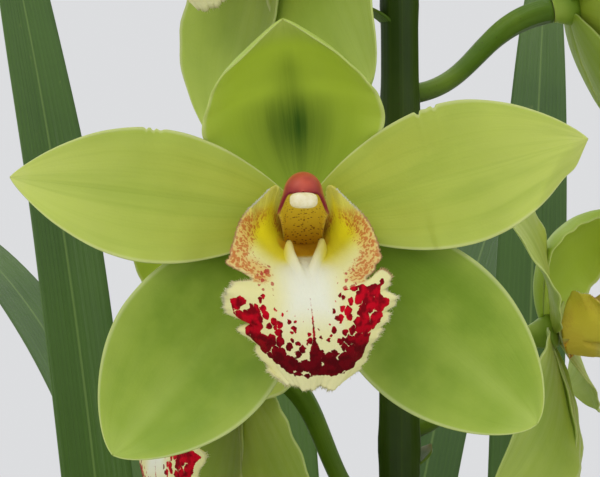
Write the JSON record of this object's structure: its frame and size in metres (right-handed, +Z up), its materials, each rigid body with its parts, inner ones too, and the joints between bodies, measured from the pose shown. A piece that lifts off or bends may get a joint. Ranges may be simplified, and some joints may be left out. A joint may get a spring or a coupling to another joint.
{
  "type": "potted cymbidium orchid",
  "caption": "Cymbidium orchid in a plain clay pot: strap leaves from bulbs in bark and an upright spike of yellow-green blooms with spotted lips.",
  "frame": {"origin": "centre of the pot's flat underside, where it rests", "axes": "+Z up along the pot's axis, -Y towards the viewer of the front bloom, +X to that viewer's right"},
  "size_m": [0.7426, 0.5398, 0.8157],
  "materials": {
    "clay": "matte",
    "bark": "matte",
    "bulb": "satin",
    "leaf": "satin",
    "stem": "satin",
    "tepal": "satin",
    "lip": "satin",
    "column": "satin",
    "cap": "satin"
  },
  "bodies": {
    "root": {"pot": "clay", "bark_medium": "bark", "flower_spike": "stem", "pseudobulb_1": "bulb", "pseudobulb_2": "bulb", "pseudobulb_3": "bulb", "pseudobulb_4": "bulb", "leaves_1": "leaf", "leaves_2": "leaf", "leaves_3": "leaf", "bloom_1_tepals": "tepal", "bloom_1_lip": "lip", "bloom_1_column": "column", "bloom_1_anther_cap": "cap", "bloom_2_tepals": "tepal", "bloom_2_lip": "lip", "bloom_2_column": "column", "bloom_2_anther_cap": "cap", "bloom_3_tepals": "tepal", "bloom_3_lip": "lip", "bloom_3_column": "column", "bloom_3_anther_cap": "cap", "bloom_4_tepals": "tepal", "bloom_4_lip": "lip", "bloom_4_column": "column", "bloom_4_anther_cap": "cap", "bloom_5_tepals": "tepal", "bloom_5_lip": "lip", "bloom_5_column": "column", "bloom_5_anther_cap": "cap", "bloom_6_tepals": "tepal", "bloom_6_lip": "lip", "bloom_6_column": "column", "bloom_6_anther_cap": "cap", "bloom_7_tepals": "tepal", "bloom_7_lip": "lip", "bloom_7_column": "column", "bloom_7_anther_cap": "cap", "bloom_8_tepals": "tepal", "bloom_8_lip": "lip", "bloom_8_column": "column", "bloom_8_anther_cap": "cap", "bloom_9_tepals": "tepal", "bloom_9_lip": "lip", "bloom_9_column": "column", "bloom_9_anther_cap": "cap"}
  },
  "joints": []
}
